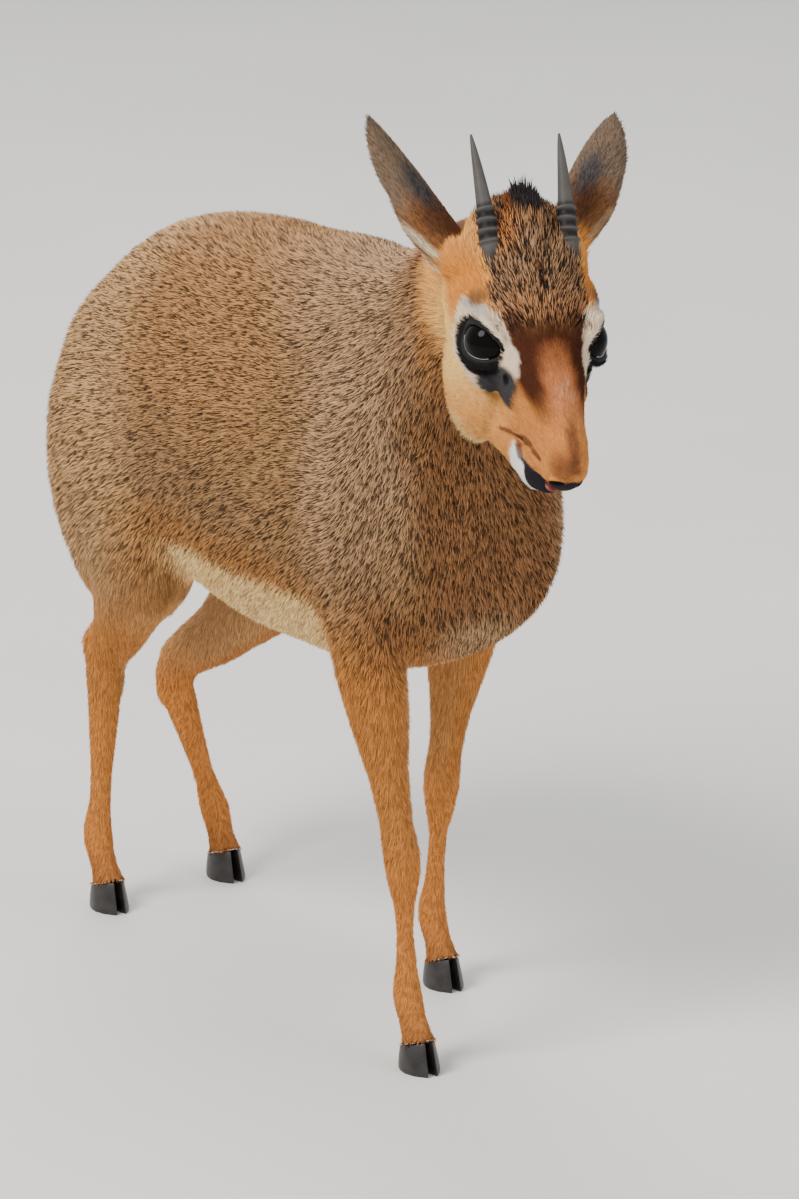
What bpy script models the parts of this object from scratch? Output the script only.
"""A male Kirk's dik-dik, life size, standing in mid-step with its head low and turned a little to its right.

Metres, +Z up. The animal faces -Y and its left side is +X. Its feet stand on z = 0.
"""

import math
import random

import bmesh
import bpy
import numpy as np
from mathutils import Matrix, Vector

MM = 0.001
GAP = 0.3 * MM

# Driving dimensions of the animal
WITHERS = 0.410
TRUNK_LENGTH = 0.399
EAR_WIDTH = 0.032
HORN_LENGTH = 0.0755
HORN_WIDTH = 0.0118
EYE_RADIUS = 0.013
LOCK_LENGTH = 0.019

# Where the trunk starts in front
CHEST_FRONT_Y = -0.217

# Places of the feet on the floor, as (x, y) of each fetlock
FETLOCKS = {
    "foreleg_right": (-0.036, -0.188),
    "foreleg_left": (0.045, -0.074),
    "hindleg_right": (-0.046, 0.134),
    "hindleg_left": (0.037, 0.152),
}

# The head's own frame: u runs from the back of the skull to the nose, v up through the crown, w to its left
HEAD_ORIGIN = Vector((0.0, -0.218, 0.433))
HEAD_YAW, HEAD_PITCH, HEAD_ROLL = math.radians(13.7), math.radians(32.7), math.radians(-4.2)

# Mesh sizes, and how much of the smoothing the thin limbs take
LIMB_SOFTNESS = 0.22
BODY_VOXEL, HEAD_VOXEL, EAR_VOXEL = 0.0025, 0.0013, 0.0007
BODY_TRIANGLES, HEAD_TRIANGLES, EAR_TRIANGLES = 5400, 3800, 560


def head_matrix():
    """Takes (u, v, w) in millimetres of the head's frame to metres of the model."""
    ahead = Vector((-math.sin(HEAD_YAW), -math.cos(HEAD_YAW), 0))
    up = Vector((0, 0, 1))
    left = Vector((math.cos(HEAD_YAW), -math.sin(HEAD_YAW), 0))
    along = ahead * math.cos(HEAD_PITCH) - up * math.sin(HEAD_PITCH)
    crown = ahead * math.sin(HEAD_PITCH) + up * math.cos(HEAD_PITCH)
    crown, left = (
        crown * math.cos(HEAD_ROLL) - left * math.sin(HEAD_ROLL),
        left * math.cos(HEAD_ROLL) + crown * math.sin(HEAD_ROLL),
    )
    turn = Matrix((along, crown, left)).transposed().to_4x4()
    return Matrix.Translation(HEAD_ORIGIN) @ turn @ Matrix.Scale(MM, 4)


HEAD = head_matrix()


def at_head(u, v, w):
    return HEAD @ Vector((u, v, w))


def new_object(name, mesh_maker):
    """An object in the scene whose mesh is filled by mesh_maker(bm), with its faces pointing out."""
    bm = bmesh.new()
    mesh_maker(bm)
    bmesh.ops.recalc_face_normals(bm, faces=bm.faces)
    mesh = bpy.data.meshes.new(name)
    bm.to_mesh(mesh)
    bm.free()
    obj = bpy.data.objects.new(name, mesh)
    bpy.context.scene.collection.objects.link(obj)
    return obj


def smooth_rows(rows, count, places):
    """`count` rows on a smooth curve through the given ones, spaced by the distance between their places."""
    rows = np.asarray(rows, float)
    steps = np.linalg.norm(np.diff(rows[:, :places], axis=0), axis=1)
    knots = np.concatenate([[0.0], np.cumsum(steps)])
    slopes = np.gradient(rows, knots, axis=0)
    out = []
    for t in np.linspace(0, knots[-1], count):
        i = min(int(np.searchsorted(knots, t, side="right")) - 1, len(knots) - 2)
        span = knots[i + 1] - knots[i]
        s = (t - knots[i]) / span
        out.append(
            (2 * s**3 - 3 * s**2 + 1) * rows[i]
            + (s**3 - 2 * s**2 + s) * span * slopes[i]
            + (3 * s**2 - 2 * s**3) * rows[i + 1]
            + (s**3 - s**2) * span * slopes[i + 1]
        )
    return np.array(out)


def skin_rings(bm, rings):
    """Faces between rings of equal point count, each end closed by a fan to its middle."""
    loops = [[bm.verts.new(p) for p in ring] for ring in rings]
    for low, high in zip(loops, loops[1:]):
        for i in range(len(low)):
            j = (i + 1) % len(low)
            bm.faces.new((low[i], low[j], high[j], high[i]))
    for ring in (loops[0], loops[-1]):
        middle = bm.verts.new(sum((v.co for v in ring), Vector()) / len(ring))
        for i in range(len(ring)):
            bm.faces.new((ring[i], ring[(i + 1) % len(ring)], middle))


def section(wide, rise, drop, sides, squareness=2.3):
    """Points of a rounded section as (side, height) pairs; squareness 2 is an ellipse."""
    points = []
    for i in range(sides):
        a = 2 * math.pi * i / sides
        c, s = math.cos(a), math.sin(a)
        power = 2 / squareness
        height = rise if s > 0 else drop
        points.append(
            (
                wide * math.copysign(abs(c) ** power, c),
                height * math.copysign(abs(s) ** power, s),
            )
        )
    return points


def loft_along_y(name, rows, count=36, sides=40):
    """A body whose rows are (y, centre height, half width, rise, drop)."""
    rings = []
    for y, centre, wide, rise, drop in smooth_rows(rows, count, 1):
        rings.append([(x, y, centre + z) for x, z in section(wide, rise, drop, sides)])
    return new_object(name, lambda bm: skin_rings(bm, rings))


def loft_in_head(name, rows, count=34, sides=40, squareness=2.2):
    """A body in the head's frame whose rows are (u, centre v, half width, rise, drop), in millimetres."""
    rings = []
    for u, centre, wide, rise, drop in smooth_rows(rows, count, 1):
        shape = section(wide, rise, drop, sides, squareness)
        rings.append([at_head(u, centre + v, w) for w, v in shape])
    return new_object(name, lambda bm: skin_rings(bm, rings))


def tube(name, rows, count=24, sides=20):
    """A limb whose rows are (x, y, z, half width across, half depth fore and aft)."""
    rows = smooth_rows(rows, count, 3)
    centres = rows[:, :3]
    tangents = np.gradient(centres, axis=0)
    rings = []
    for centre, tangent, (wide, deep) in zip(centres, tangents, rows[:, 3:]):
        ahead = Vector(tangent).normalized()
        across = (Vector((1, 0, 0)) - ahead * ahead.x).normalized()
        depth = ahead.cross(across)
        ring = []
        for i in range(sides):
            a = 2 * math.pi * i / sides
            ring.append(Vector(centre) + across * wide * math.cos(a) + depth * deep * math.sin(a))
        rings.append(ring)
    return new_object(name, lambda bm: skin_rings(bm, rings))


def ellipsoid(name, centre, radii, turn=None, segments=32):
    matrix = Matrix.Translation(centre) @ (turn or Matrix()) @ Matrix.Diagonal((*radii, 1))
    return new_object(
        name,
        lambda bm: bmesh.ops.create_uvsphere(
            bm, u_segments=segments, v_segments=segments // 2, radius=1, matrix=matrix
        ),
    )


def head_ellipsoid(name, centre, radii, pitch=0.0, yaw=0.0, segments=32):
    """An ellipsoid in the head's frame, in millimetres; pitch turns it about w and yaw about v."""
    turn = Matrix.Rotation(yaw, 4, "Y") @ Matrix.Rotation(pitch, 4, "Z")
    matrix = HEAD @ Matrix.Translation(centre) @ turn @ Matrix.Diagonal((*radii, 1))
    return new_object(
        name,
        lambda bm: bmesh.ops.create_uvsphere(
            bm, u_segments=segments, v_segments=segments // 2, radius=1, matrix=matrix
        ),
    )


def box(name, size, matrix):
    def make(bm):
        bmesh.ops.create_cube(bm, size=1, matrix=matrix @ Matrix.Diagonal((*size, 1)))

    return new_object(name, make)


def remove(obj):
    mesh = obj.data
    bpy.data.objects.remove(obj)
    bpy.data.meshes.remove(mesh)


def bake(obj):
    """Applies the object's modifiers."""
    graph = bpy.context.evaluated_depsgraph_get()
    made = bpy.data.meshes.new_from_object(obj.evaluated_get(graph))
    old = obj.data
    obj.modifiers.clear()
    obj.data = made
    bpy.data.meshes.remove(old)
    return obj


def triangles(obj):
    obj.data.calc_loop_triangles()
    return len(obj.data.loop_triangles)


def decimate(obj, target):
    modifier = obj.modifiers.new("fewer", "DECIMATE")
    modifier.ratio = min(1.0, target / triangles(obj))
    return bake(obj)


def join(name, pieces):
    """One object with the meshes of the pieces, which are removed."""
    bm = bmesh.new()
    for piece in pieces:
        bm.from_mesh(piece.data)
    mesh = bpy.data.meshes.new(name)
    bm.to_mesh(mesh)
    bm.free()
    for piece in pieces:
        remove(piece)
    obj = bpy.data.objects.new(name, mesh)
    bpy.context.scene.collection.objects.link(obj)
    return obj


def smooth_by(obj, rounds, weight):
    """Smooths by weight(point), which is 1 where the flesh is thick and less on thin limbs."""
    group = obj.vertex_groups.new(name="soft")
    for vertex in obj.data.vertices:
        group.add([vertex.index], weight(vertex.co), "REPLACE")
    modifier = obj.modifiers.new("soft", "SMOOTH")
    modifier.factor = 0.5
    modifier.iterations = rounds
    modifier.vertex_group = group.name
    bake(obj)
    obj.vertex_groups.clear()
    return obj


def fuse(name, pieces, voxel):
    """One closed skin round all of the pieces."""
    obj = join(name, pieces)
    modifier = obj.modifiers.new("fused", "REMESH")
    modifier.mode = "VOXEL"
    modifier.voxel_size = voxel
    return bake(obj)


def boolean(obj, cutter, operation, keep_cutter=False):
    modifier = obj.modifiers.new("cut", "BOOLEAN")
    modifier.operation = operation
    modifier.solver = "EXACT"
    modifier.object = cutter
    bake(obj)
    if not keep_cutter:
        remove(cutter)
    return obj


def islands(mesh):
    """The connected sets of faces, each as a bmesh of its own, largest volume first."""
    whole = bmesh.new()
    whole.from_mesh(mesh)
    whole.faces.ensure_lookup_table()
    left = set(whole.faces)
    found = []
    while left:
        stack = [left.pop()]
        member = set(stack)
        while stack:
            for edge in stack.pop().edges:
                for face in edge.link_faces:
                    if face in left:
                        left.remove(face)
                        member.add(face)
                        stack.append(face)
        piece = bmesh.new()
        copies = {}
        for face in member:
            corners = []
            for v in face.verts:
                if v not in copies:
                    copies[v] = piece.verts.new(v.co)
                corners.append(copies[v])
            piece.faces.new(corners)
        found.append(piece)
    whole.free()
    found.sort(key=lambda bm: -bm.calc_volume())
    return found


def keep_largest(obj):
    pieces = islands(obj.data)
    pieces[0].to_mesh(obj.data)
    for piece in pieces:
        piece.free()
    obj.data.update()
    return obj


def centre_of(bm):
    return sum((v.co for v in bm.verts), Vector()) / len(bm.verts)


def split(obj, anchors):
    """Parts the object into its islands, each named by the anchor point that lies nearest to its middle."""
    named = {}
    pieces = islands(obj.data)[: len(anchors)]
    for name, anchor in anchors.items():
        nearest = min(pieces, key=lambda bm: (centre_of(bm) - Vector(anchor)).length)
        pieces.remove(nearest)
        mesh = bpy.data.meshes.new(name)
        nearest.to_mesh(mesh)
        nearest.free()
        named[name] = bpy.data.objects.new(name, mesh)
        bpy.context.scene.collection.objects.link(named[name])
    remove(obj)
    return named


def grown(obj, by):
    """A helper copy of the object, its surface moved out by a small distance."""
    copy = bpy.data.objects.new(obj.name + "_grown", obj.data.copy())
    bpy.context.scene.collection.objects.link(copy)
    modifier = copy.modifiers.new("out", "DISPLACE")
    modifier.strength = by
    modifier.mid_level = 0
    return bake(copy)


# Trunk, neck and tail


def trunk():
    """(y, centre height, half width, rise, drop), from the point of the chest to the rump."""
    top = WITHERS
    rows = [
        (CHEST_FRONT_Y, 0.280, 0.013, 0.018, 0.018),
        (-0.212, 0.282, 0.036, 0.044, 0.040),
        (-0.197, 0.285, 0.0515, 0.068, 0.060),
        (-0.168, 0.289, 0.0615, 0.093, 0.081),
        (-0.120, 0.295, 0.068, top - 0.295, 0.101),
        (-0.070, 0.297, 0.071, top + 0.004 - 0.297, 0.106),
        (-0.010, 0.298, 0.074, top - 0.003 - 0.298, 0.108),
        (0.050, 0.302, 0.073, top - 0.008 - 0.302, 0.101),
        (0.095, 0.303, 0.067, top - 0.018 - 0.303, 0.088),
        (0.135, 0.296, 0.061, 0.070, 0.076),
        (0.163, 0.288, 0.053, 0.053, 0.064),
        (CHEST_FRONT_Y + TRUNK_LENGTH, 0.280, 0.026, 0.026, 0.036),
    ]
    return loft_along_y("trunk", rows)


def neck(name):
    rows = [
        (0.000, -0.112, 0.322, 0.060, 0.096),
        (0.000, -0.149, 0.355, 0.053, 0.077),
        (0.000, -0.181, 0.385, 0.046, 0.057),
        (-0.002, -0.203, 0.408, 0.039, 0.045),
        (-0.004, -0.224, 0.421, 0.032, 0.036),
        (-0.007, -0.242, 0.421, 0.022, 0.022),
    ]
    return tube(name, rows, sides=32)


def muscles():
    """Shoulders and haunches, which round out the trunk over each leg, and the breast under the throat."""
    lean = Matrix.Rotation(-0.25, 4, "X")
    made = [ellipsoid("breast", (0.001, -0.174, 0.316), (0.047, 0.043, 0.066), lean)]
    for side in (-1, 1):
        tilt = Matrix.Rotation(math.radians(12), 4, "X")
        reach = -0.150 if side < 0 else -0.128
        made.append(ellipsoid("shoulder", (side * 0.042, reach + 0.004, 0.294), (0.028, 0.050, 0.082), tilt))
        haunch = 0.105 if side < 0 else 0.110
        tilt = Matrix.Rotation(math.radians(-14), 4, "X")
        made.append(ellipsoid("haunch", (side * 0.042, haunch, 0.254), (0.035, 0.066, 0.086), tilt))
    return made


def tail():
    rows = [
        (0.0, 0.150, 0.343, 0.012, 0.012),
        (0.0, 0.167, 0.332, 0.015, 0.011),
        (0.0, 0.178, 0.312, 0.014, 0.009),
        (0.0, 0.183, 0.290, 0.011, 0.007),
        (0.0, 0.183, 0.272, 0.004, 0.003),
    ]
    return tube("tail", rows, count=16, sides=12)


# Legs


def foreleg(name, elbow, carpus):
    """Forearm, carpus, cannon and pastern, down to the top of the hooves."""
    x, y = FETLOCKS[name]
    ex, ey, ez = elbow
    cx, cy, cz = carpus

    def between(share, away=0.0):
        return (ex + (cx - ex) * share, ey + (cy - ey) * share + away, ez + (cz - ez) * share)

    def cannon(share):
        return (cx + (x - cx) * share, cy + (y - cy) * share, cz + (0.036 - cz) * share)

    rows = [
        (ex, ey + 0.004, ez + 0.030, 0.020, 0.034),
        (ex, ey, ez, 0.018, 0.028),
        (*between(0.35), 0.0145, 0.0205),
        (*between(0.60), 0.0105, 0.0135),
        (*between(0.82), 0.0092, 0.0105),
        (*carpus, 0.0102, 0.0112),
        (*cannon(0.16), 0.0088, 0.0098),
        (*cannon(0.34), 0.0062, 0.0072),
        (*cannon(0.72), 0.0060, 0.0072),
        (x, y, 0.036, 0.0082, 0.0100),
        (x, y - 0.006, 0.024, 0.0078, 0.0086),
        (x, y - 0.012, 0.011, 0.0098, 0.0122),
        (x, y - 0.013, 0.004, 0.0098, 0.0122),
    ]
    return tube(name, rows, count=60, sides=20)


def hindleg(name, stifle, hock):
    """Thigh, gaskin, hock with its heel bone, cannon and pastern."""
    x, y = FETLOCKS[name]
    side = -1 if x < 0 else 1
    sx, sy, sz = stifle
    hx, hy, hz = hock
    upper = [
        (side * 0.040, 0.105, 0.300, 0.026, 0.056),
        (side * 0.048, 0.5 * (0.105 + sy), 0.252, 0.026, 0.048),
        (sx, sy + 0.008, sz, 0.022, 0.034),
        (sx + (hx - sx) * 0.5, sy + (hy - sy) * 0.5, sz + (hz - sz) * 0.5, 0.0150, 0.0200),
        (hx, hy - 0.002, hz + 0.004, 0.0105, 0.0130),
        (hx, hy, hz - 0.012, 0.0100, 0.0125),
    ]
    lower = [
        (hx, hy - 0.004, hz + 0.014, 0.0095, 0.0115),
        (hx, hy, hz, 0.0105, 0.0130),
        (hx + (x - hx) * 0.16, hy + (y - hy) * 0.16, hz + (0.036 - hz) * 0.16, 0.0092, 0.0120),
        (hx + (x - hx) * 0.38, hy + (y - hy) * 0.38, hz + (0.036 - hz) * 0.38, 0.0078, 0.0100),
        (hx + (x - hx) * 0.75, hy + (y - hy) * 0.75, hz + (0.036 - hz) * 0.75, 0.0064, 0.0080),
        (x, y, 0.036, 0.0086, 0.0104),
        (x, y - 0.006, 0.024, 0.0078, 0.0088),
        (x, y - 0.012, 0.011, 0.0098, 0.0122),
        (x, y - 0.013, 0.004, 0.0098, 0.0122),
    ]
    shin = Vector((sx - hx, sy - hy, sz - hz))
    rear = Vector((0, 1, 0))
    rear = (rear - shin * (rear.dot(shin) / shin.length_squared)).normalized()

    def tendon(share, behind):
        return Vector(hock) + shin * share + rear * behind

    bone = [
        (hx, hy - 0.006, hz - 0.010, 0.0060, 0.0060),
        (*tendon(0.02, 0.0150), 0.0072, 0.0072),
        (*tendon(0.22, 0.0140), 0.0052, 0.0062),
        (*tendon(0.45, 0.0110), 0.0070, 0.0090),
    ]
    return [
        tube(name + "_upper", upper, count=40, sides=24),
        tube(name + "_lower", lower, count=50, sides=20),
        tube(name + "_heel", bone, count=20, sides=14),
    ]


CORONET_TILT = math.radians(17)
CORONET_HEIGHT = 0.0150
HOOF_LENGTH, HOOF_WIDTH = 0.0245, 0.0092


def coronet_plane(x, y):
    """The slanted plane where the skin of a foot ends and its hooves begin."""
    return Matrix.Translation((x, y - 0.012, CORONET_HEIGHT)) @ Matrix.Rotation(-CORONET_TILT, 4, "X")


def hoof(name, x, y, side):
    """One of the two hooves of a foot: flat sole, pointed toe in front, a straight inner wall."""
    levels = [(0.0, 1.00, 0.0), (0.0020, 1.02, 0.0), (0.0070, 0.96, 0.0007), (0.0125, 0.88, 0.0016)]
    top = coronet_plane(x, y)
    inner = GAP * 1.5
    rings = []

    def outline(scale, back):
        ring = []
        sides = 12
        for i in range(sides):
            a = 2 * math.pi * i / sides
            ahead = math.cos(a)
            wide = 0.5 * HOOF_WIDTH * (1 + math.sin(a) * (1 - 0.42 * max(0.0, ahead) ** 1.6))
            slim = 1 - 0.55 * max(0.0, ahead) ** 3
            ring.append((side * (inner + wide * slim * scale), -0.5 * HOOF_LENGTH * scale * ahead + back))
        return ring

    for height, scale, back in levels:
        rings.append([(x + px, y - 0.0135 + py, height) for px, py in outline(scale, back)])
    last = []
    for px, py in outline(0.84, 0.0022):
        point = Vector((x + px, y - 0.0135 + py, 0))
        normal = top.to_3x3() @ Vector((0, 0, 1))
        rise = (top.translation - point).dot(normal) / normal.z
        last.append((point.x, point.y, rise - GAP))
    rings[-1] = [
        tuple(0.5 * (a + b) for a, b in zip(low, high)) for low, high in zip(rings[-2], last)
    ]
    rings.append(last)
    return new_object(name, lambda bm: skin_rings(bm, rings))


# Head


def skull():
    """(u, centre v, half width, rise, drop): the cranium, face and the long soft snout."""
    rows = [
        (-7, 0, 14, 15, 16),
        (4, 2, 28.5, 25, 22),
        (20, 4, 36, 31, 27),
        (38, 5, 38.5, 32, 31),
        (55, 6, 36.5, 29, 31),
        (70, 6.5, 30, 25.5, 27.5),
        (85, 6, 23.5, 22.5, 22.5),
        (100, 5, 18.6, 19, 22),
        (114, 4, 14.6, 17.5, 21.5),
        (127, 3, 11.8, 17, 20.5),
        (139, 2, 10.5, 15.5, 18),
        (147, 0.5, 8.0, 12, 14),
        (152, -1, 3.6, 5, 5.5),
    ]
    return loft_in_head("skull", rows)


def jaw():
    rows = [
        (12, -16, 22, 14, 16),
        (36, -24, 29, 18, 27),
        (58, -28, 27, 18, 28),
        (80, -30, 21.5, 16, 20),
        (100, -29.5, 16.5, 14, 14),
        (115, -28.5, 13.5, 12, 10.5),
        (127, -27, 10.8, 10.5, 8),
        (134, -25.6, 5, 6.5, 4.5),
    ]
    return loft_in_head("jaw", rows)


EYE_AT = (66.5, 11.0, 24.6)
EYE_AXIS = Vector((0.38, 0.33, 0.86)).normalized()
EYE_LENGTH_WAY = Vector((0.825, 0.178, -0.536))


def eye_turn(side):
    """Turns +Z to the way the eye looks, with +X along the length of its opening."""
    looks = Vector((EYE_AXIS.x, EYE_AXIS.y, side * EYE_AXIS.z))
    forward = Vector((EYE_LENGTH_WAY.x, EYE_LENGTH_WAY.y, side * EYE_LENGTH_WAY.z))
    length = (forward - looks * looks.dot(forward)).normalized()
    height = looks.cross(length)
    return Matrix((length, height, looks)).transposed().to_4x4()


def lid_ring(name, side, long=13.0, tall=10.8, thick=2.0, offset=6.2):
    """The rim of both lids: an oval ring lying on the eyeball."""
    matrix = HEAD @ Matrix.Translation((EYE_AT[0], EYE_AT[1], side * EYE_AT[2])) @ eye_turn(side)
    rings = []
    turns = 36
    for i in range(turns):
        a = 2 * math.pi * i / turns
        middle = Vector((long * math.cos(a), tall * math.sin(a), offset))
        out = middle.normalized()
        along = Vector((-long * math.sin(a), tall * math.cos(a), 0)).normalized()
        across = out.cross(along)
        ring = []
        for j in range(10):
            b = 2 * math.pi * j / 10
            ring.append(matrix @ (middle + out * thick * math.cos(b) + across * thick * math.sin(b)))
        rings.append(ring)

    def make(bm):
        loops = [[bm.verts.new(p) for p in ring] for ring in rings]
        for low, high in zip(loops, loops[1:] + loops[:1]):
            for j in range(len(low)):
                k = (j + 1) % len(low)
                bm.faces.new((low[j], low[k], high[k], high[j]))

    return new_object(name, make)


def lid_opening(side):
    """What is cut away in front of the eyeball, so that the lids frame an oval."""
    matrix = HEAD @ Matrix.Translation((EYE_AT[0], EYE_AT[1], side * EYE_AT[2])) @ eye_turn(side)
    matrix = matrix @ Matrix.Translation((0, 0, 12)) @ Matrix.Diagonal((11.8, 9.0, 9, 1))
    return new_object(
        "lid_opening",
        lambda bm: bmesh.ops.create_uvsphere(bm, u_segments=28, v_segments=14, radius=1, matrix=matrix),
    )


# For each ear, in the head's frame: root, tip, the way its back faces, its bow along that way, its sweep
# outwards, and the fold down the middle of its back as a share of its half width
EARS = {
    -1: {
        "root": (18.4, 22.8, -23.2),
        "tip": (-59.4, 46.2, -65.9),
        "back": (0.055, 0.915, 0.40),
        "bow": -4.5,
        "sweep": -2.9,
        "fold": 0.065,
    },
    1: {
        "root": (13.8, 25.3, 20.7),
        "tip": (-56, 48.3, 65),
        "back": (-0.074, 0.832, -0.55),
        "bow": -1.0,
        "sweep": 4.4,
        "fold": 0.60,
    },
}


def head_forms():
    """Everything of flesh on the head, before the eyes, nostrils and mouth are cut."""
    made = [skull(), jaw(), neck("neck_top")]
    for side in (-1, 1):
        u, v, w = EARS[side]["root"]
        made += [
            head_ellipsoid("brow", (52, 21, side * 26.5), (21, 8.5, 8.5), pitch=-0.16, yaw=side * 0.10),
            head_ellipsoid("cheekbone", (54, -4, side * 27), (30, 11, 10.5), pitch=-0.10, yaw=side * 0.16),
            head_ellipsoid("jaw_muscle", (52, -31, side * 18), (36, 25, 16)),
            head_ellipsoid("gland_swelling", (90, 3, side * 15.5), (14, 9, 7)),
            head_ellipsoid("cheek", (78, -13, side * 8), (34, 14, 10)),
            head_ellipsoid("nostril_wing", (142, -5, side * 5.8), (8.5, 7.5, 5.0), yaw=side * 0.35),
            head_ellipsoid("upper_lip", (124, -13, side * 6.8), (17, 6.5, 6), pitch=0.06, yaw=side * 0.2),
            head_ellipsoid("ear_root", (u + 1, v - 4, w + side * 7), (15, 12, 11), -0.28, side * 0.33),
            lid_ring("lids", side),
        ]
    made.append(head_ellipsoid("crown_pad", (26, 27, 0), (38, 20, 34), pitch=-0.18))
    made.append(head_ellipsoid("crest_core", (22, 39, 0), (22, 13, 13), pitch=-0.42))
    return made


def eye_ball(name, side, grow=0.0, segments=18):
    centre = at_head(EYE_AT[0], EYE_AT[1], side * EYE_AT[2])
    turn = (HEAD.to_3x3().normalized().to_4x4()) @ eye_turn(side)
    radius = EYE_RADIUS + grow
    return ellipsoid(name, centre, (radius, radius, radius), turn, segments)


def mouth_cutter():
    """A thin curved blade between the lips, wrapping the front of the jaw from corner to corner."""
    line = []
    steps = 18
    for i in range(steps + 1):
        s = -1 + 2 * i / steps
        u = 104 + 33 * (1 - abs(s) ** 2.4)
        w = 17.0 * math.copysign(abs(s) ** 0.75, s)
        v = -17.6 - 4.2 * abs(s) ** 2.2
        line.append((u, v, w))
    rings = []
    for u, v, w in line:
        inside = Vector((92.0, v, w * 0.25))
        outside = Vector((u + 6, v, w * 1.1))
        half = 0.7
        rings.append(
            [
                at_head(outside.x, outside.y + half, outside.z),
                at_head(outside.x, outside.y - half, outside.z),
                at_head(inside.x, inside.y - half, inside.z),
                at_head(inside.x, inside.y + half, inside.z),
            ]
        )
    return new_object("mouth", lambda bm: skin_rings(bm, rings))


def horn_axis(side):
    root, tip = Vector((40, 30.4, side * 20.0)), Vector((-27.2, 64, side * 23.6))
    return root, tip


HORN_RINGS = (0.27, 0.335, 0.40, 0.46)


def horn(name, side):
    """A straight spike, slightly bowed back, with low rings over its lower part."""
    root, tip = horn_axis(side)
    axis = (tip - root).normalized()
    side_way = Vector((0, 0, 1))
    side_way = (side_way - axis * side_way.dot(axis)).normalized()
    bow = axis.cross(side_way).normalized()
    length = HORN_LENGTH / MM
    rings = []
    count = 26
    for i in range(count + 1):
        t = i / count
        radius = 0.5 * HORN_WIDTH / MM * (1 - t) ** 0.72 + 0.45
        for place in HORN_RINGS:
            radius += 0.75 * math.exp(-(((t - place) / 0.016) ** 2))
        centre = root + axis * length * t + bow * (2.2 * math.sin(math.pi * t))
        ring = []
        for j in range(10):
            a = 2 * math.pi * j / 10
            ring.append(HEAD @ (centre + side_way * radius * math.cos(a) + bow * radius * math.sin(a)))
        rings.append(ring)
    return new_object(name, lambda bm: skin_rings(bm, rings))


def ear_half_width(t):
    """Half the width of the opened ear at a share t of its length, in millimetres."""
    rise = min(1.0, max(0.0, (t - 0.02) / 0.46))
    opened = rise * rise * (3 - 2 * rise)
    taper = max(0.0, 1 - ((t - 0.48) / 0.52) ** 2) ** 0.75 if t > 0.48 else 1.0
    return max(1.0, 0.5 * EAR_WIDTH / MM * (0.76 + 0.24 * opened) * taper)


def ear(name, side):
    """A leaf-shaped shell: its back turned up and forward, its cup open back and outward."""
    shape = EARS[side]
    root = Vector(shape["root"])
    axis = Vector(shape["tip"]) - root
    length = axis.length
    axis.normalize()
    back = Vector(shape["back"])
    back = (back - axis * back.dot(axis)).normalized()
    across = axis.cross(back)
    outward = Vector((0, 0, side))
    outward = (outward - axis * outward.dot(axis)).normalized()
    count, arc = 22, 13
    rings = []
    for i in range(count + 1):
        t = i / count
        half = ear_half_width(t)
        spread = math.radians(150 - 82 * min(1.0, t / 0.55))
        bend = half / max(math.sin(min(spread, math.pi / 2)), 0.4)
        thick = 1.7 + 1.8 * (1 - t) ** 2
        crest = shape["fold"] * half
        arch = math.sin(math.pi * t)
        centre = root + axis * length * t + back * (shape["bow"] * arch) + outward * (shape["sweep"] * arch)
        outer, inner = [], []
        for j in range(arc + 1):
            a = spread * (-1 + 2 * j / arc)
            fall = bend * (1 - math.cos(a)) * 0.85
            edge = 1 - 0.25 * abs(-1 + 2 * j / arc) ** 3
            outer.append(centre + across * bend * math.sin(a) + back * (crest - fall))
            deep = min(thick * edge, 0.7 * bend)
            inner_bend = bend - deep
            inner.append(
                centre
                + across * inner_bend * math.sin(a)
                + back * (crest - deep - inner_bend * (1 - math.cos(a)) * 0.85)
            )
        rings.append([HEAD @ p for p in outer + inner[::-1]])
    shell = new_object(name, lambda bm: skin_rings(bm, rings))
    return decimate(fuse(name, [shell], EAR_VOXEL), EAR_TRIANGLES)


def lock(root, direction, out, length, width):
    """A flat, tapered lock of hair in the head's frame, bending back towards its tip."""
    along = direction.normalized()
    across = along.cross(out).normalized()
    normal = across.cross(along)
    shape = [(0.0, 0.75, 1.2), (0.35, 1.0, 1.5), (0.72, 0.62, 1.1), (1.0, 0.12, 0.35)]
    rings = []
    for share, wide, thick in shape:
        centre = root + along * length * share - normal * (length * 0.16 * share * share)
        half = 0.5 * width * wide
        rings.append(
            [
                HEAD @ (centre + across * half),
                HEAD @ (centre + normal * thick),
                HEAD @ (centre - across * half),
                HEAD @ (centre - normal * thick * 0.6),
            ]
        )
    return new_object("lock", lambda bm: skin_rings(bm, rings))


def crest_locks():
    """Rows of locks on the crown between the horns, longest in the middle of the back row."""
    draw = random.Random(4)
    made = []
    rows = [(50, 0.48, 5), (40, 0.66, 5), (30, 0.86, 5), (20, 1.0, 5), (9, 0.90, 4)]
    for u, share, count in rows:
        for i in range(count):
            s = (-1 + 2 * (i + 0.5) / count) + draw.uniform(-0.06, 0.06)
            w = 11.5 * s
            middle = 1 - 0.45 * abs(s) ** 1.5
            length = LOCK_LENGTH / MM * share * middle * draw.uniform(0.92, 1.10)
            root = Vector((u + 3 * abs(s), 41 + 5.5 * share - 5.5 * s * s, w))
            direction = Vector((-0.74, 0.62 + 0.10 * share, 0.16 * s + draw.uniform(-0.06, 0.06)))
            out = Vector((0.55, 0.80, 0.25 * s))
            made.append(lock(root, direction, out, length, draw.uniform(7.0, 9.0)))
    return made


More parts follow.
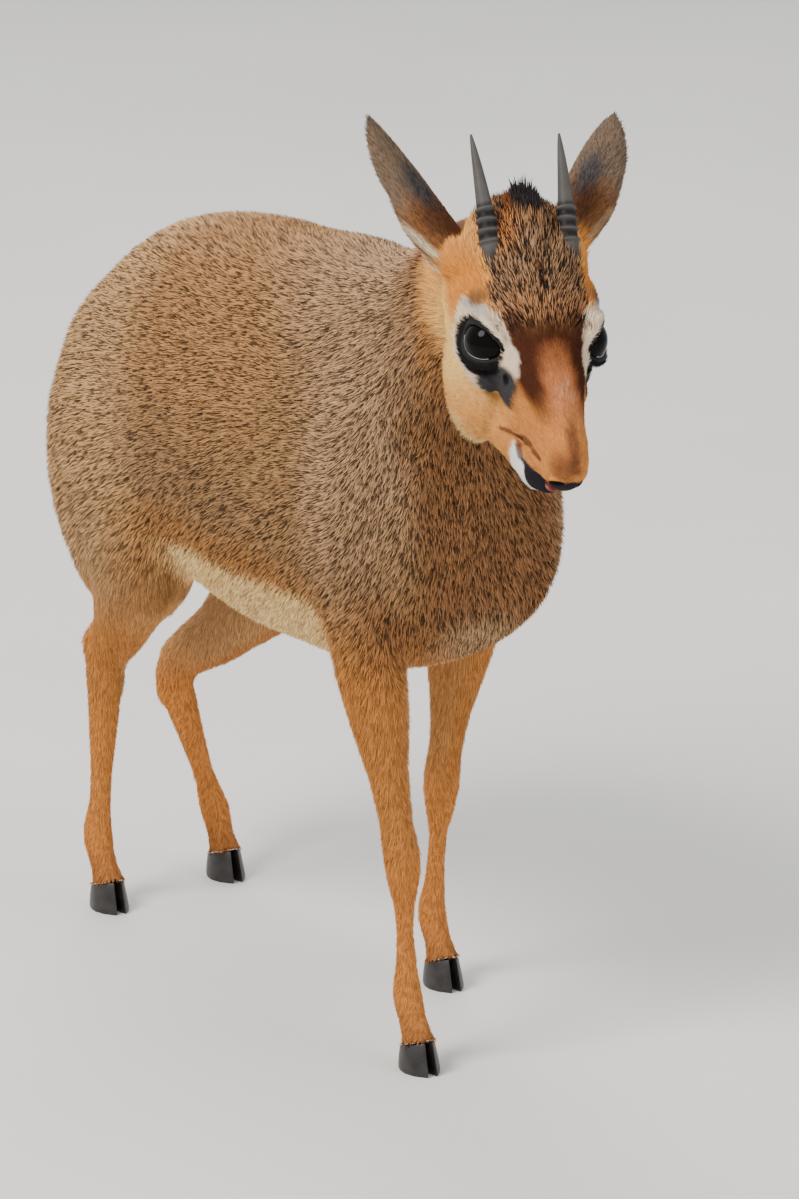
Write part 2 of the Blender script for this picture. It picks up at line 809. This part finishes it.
def union_all(obj, pieces):
    """One Boolean union of the object with a collection of closed meshes, which are then removed."""
    group = bpy.data.collections.new("pieces")
    for piece in pieces:
        group.objects.link(piece)
    modifier = obj.modifiers.new("grown_in", "BOOLEAN")
    modifier.operation = "UNION"
    modifier.operand_type = "COLLECTION"
    modifier.collection = group
    modifier.solver = "MANIFOLD"
    bake(obj)
    for piece in pieces:
        remove(piece)
    bpy.data.collections.remove(group)
    return keep_largest(obj)


# Where the parts meet

LEG_MIDDLE = 0.045
HEAD_CUT = (Vector((0.0, -0.212, 0.420)), Vector((-0.12, -0.86, 0.50)))
NECK_CUT = (Vector((0.0, -0.150, 0.348)), Vector((0.0, -0.62, 0.78)))


def facing(point, normal):
    """A frame at the point whose +Z is the normal and whose +X stays across the body."""
    z = normal.normalized()
    x = (Vector((1, 0, 0)) - z * z.x).normalized()
    y = z.cross(x)
    return Matrix.Translation(point) @ Matrix((x, y, z)).transposed().to_4x4()


def slab(name, cut, across, along):
    point, normal = cut
    return box(name, (across, along, GAP), facing(point, normal))


def leg_slab(side, place, slopes, reach, inner, outer):
    """A thin cut over one leg through its place (y, height), rising outwards and to the rear."""
    y, height = place
    outward, rearward = slopes
    middle = 0.5 * (inner + outer)
    point = Vector((side * middle, y, height + outward * (middle - LEG_MIDDLE)))
    normal = Vector((-side * outward, -rearward, 1.0))
    run = (outer - inner) * math.hypot(1, outward)
    return box("slab", (run, reach, GAP), facing(point, normal))


def body_nodes():
    pieces = [trunk(), neck("neck_base")] + muscles()
    pieces.append(foreleg("foreleg_right", (-0.043, -0.158, 0.222), (-0.040, -0.189, 0.112)))
    pieces.append(foreleg("foreleg_left", (0.042, -0.112, 0.222), (0.043, -0.087, 0.115)))
    pieces += hindleg("hindleg_right", (-0.056, 0.066, 0.208), (-0.046, 0.124, 0.138))
    pieces += hindleg("hindleg_left", (0.049, 0.098, 0.186), (0.029, 0.184, 0.104))
    body = fuse("body", pieces, BODY_VOXEL)

    def thick(point):
        return min(1.0, max(LIMB_SOFTNESS, (point.z - 0.15) / 0.07))

    smooth_by(body, 20, thick)
    decimate(body, BODY_TRIANGLES)

    point, normal = HEAD_CUT
    above = box("above", (0.16, 0.16, 0.10), facing(point, normal) @ Matrix.Translation((0, 0, 0.05)))
    boolean(body, above, "DIFFERENCE")
    cutters = [
        slab("neck_slab", NECK_CUT, 0.20, 0.26),
        leg_slab(-1, (-0.160, 0.206), (0.60, 0.0), 0.110, 0.010, 0.085),
        leg_slab(1, (-0.112, 0.206), (0.60, 0.0), 0.110, 0.010, 0.085),
        leg_slab(-1, (0.110, 0.228), (0.95, 0.50), 0.210, 0.004, 0.100),
        leg_slab(1, (0.116, 0.228), (0.95, 0.50), 0.210, 0.004, 0.100),
    ]
    for name, (x, y) in FETLOCKS.items():
        foot = coronet_plane(x, y) @ Matrix.Translation((0, 0, -0.02))
        cutters.append(box("sole", (0.05, 0.06, 0.04), foot))
    boolean(body, join("cuts", cutters), "DIFFERENCE")
    anchors = {
        "torso": (0, -0.01, 0.30),
        "neck": (0, -0.19, 0.385),
        "foreleg_right": (-0.04, -0.18, 0.10),
        "foreleg_left": (0.045, -0.09, 0.10),
        "hindleg_right": (-0.046, 0.12, 0.13),
        "hindleg_left": (0.04, 0.13, 0.13),
    }
    nodes = split(body, anchors)
    nodes["tail"] = set_on(tail(), nodes["torso"])
    return nodes


def head_node():
    head = fuse("head", head_forms(), HEAD_VOXEL)
    smooth_by(head, 5, lambda point: 1.0)
    decimate(head, HEAD_TRIANGLES)
    point, normal = HEAD_CUT
    behind = facing(point, normal) @ Matrix.Translation((0, 0, GAP - 0.10))
    boolean(head, box("behind", (0.3, 0.3, 0.20), behind), "DIFFERENCE")
    for side in (-1, 1):
        boolean(head, eye_ball("socket", side, GAP, 24), "DIFFERENCE")
        boolean(head, lid_opening(side), "DIFFERENCE")
        pit = head_ellipsoid("gland", (92, 5.5, side * 27.5), (3.2, 2.4, 3.0), segments=12)
        boolean(head, pit, "DIFFERENCE")
        hole = head_ellipsoid("nostril", (149, -6, side * 7.2), (5.5, 2.0, 3.4), 0.5, side * 0.6, 14)
        boolean(head, hole, "DIFFERENCE")
    boolean(head, mouth_cutter(), "DIFFERENCE")
    return keep_largest(head)


def set_on(piece, bearer):
    """Cuts a piece that grows from another so that it meets the skin face to face."""
    boolean(piece, grown(bearer, GAP), "DIFFERENCE")
    return keep_largest(piece)


# Finishes


def material(name, colour, roughness):
    made = bpy.data.materials.new(name)
    made.use_nodes = True
    shader = made.node_tree.nodes["Principled BSDF"]
    shader.inputs["Base Color"].default_value = (*colour, 1)
    shader.inputs["Roughness"].default_value = roughness
    shader.inputs["Metallic"].default_value = 0
    return made


def finish(nodes):
    coat = material("grizzled_coat", (0.24, 0.17, 0.115), 0.9)
    tan = material("tan_coat", (0.45, 0.22, 0.10), 0.9)
    grey = material("ear_coat", (0.20, 0.15, 0.12), 0.85)
    horn_stuff = material("horn", (0.035, 0.032, 0.034), 0.5)
    wet = material("eye", (0.008, 0.006, 0.006), 0.08)
    for name, obj in nodes.items():
        if name.startswith("eye"):
            chosen = wet
        elif name.startswith(("horn", "hoof")):
            chosen = horn_stuff
        elif name.startswith("ear"):
            chosen = grey
        elif "leg" in name or name == "head":
            chosen = tan
        else:
            chosen = coat
        obj.data.materials.clear()
        obj.data.materials.append(chosen)
        obj.data.shade_smooth()
        obj.data.set_sharp_from_angle(angle=math.radians(50))


def stand_at_origin(nodes):
    """Moves everything so that the middle of the whole box stands over the origin."""
    corners = [v.co for obj in nodes.values() for v in obj.data.vertices]
    shift = Vector()
    for axis in (0, 1):
        values = [c[axis] for c in corners]
        shift[axis] = -0.5 * (min(values) + max(values))
    shift.z = -min(c.z for c in corners)
    for obj in nodes.values():
        obj.data.transform(Matrix.Translation(shift))


def main():
    for obj in list(bpy.data.objects):
        bpy.data.objects.remove(obj)
    nodes = body_nodes()
    head = head_node()
    for side, word in ((-1, "right"), (1, "left")):
        nodes["eye_" + word] = eye_ball("eye_" + word, side)
        nodes["horn_" + word] = set_on(horn("horn_" + word, side), head)
        nodes["ear_" + word] = set_on(ear("ear_" + word, side), head)
    head = union_all(head, crest_locks())
    nodes["head"] = head
    for leg, (x, y) in FETLOCKS.items():
        for side, word in ((-1, "outer" if x < 0 else "inner"), (1, "inner" if x < 0 else "outer")):
            name = "hoof_" + leg.replace("leg", "") + "_" + word
            nodes[name] = hoof(name, x, y, side)
    finish(nodes)
    stand_at_origin(nodes)
    group = bpy.data.collections.new("dik_dik")
    bpy.context.scene.collection.children.link(group)
    for obj in nodes.values():
        bpy.context.scene.collection.objects.unlink(obj)
        group.objects.link(obj)


main()
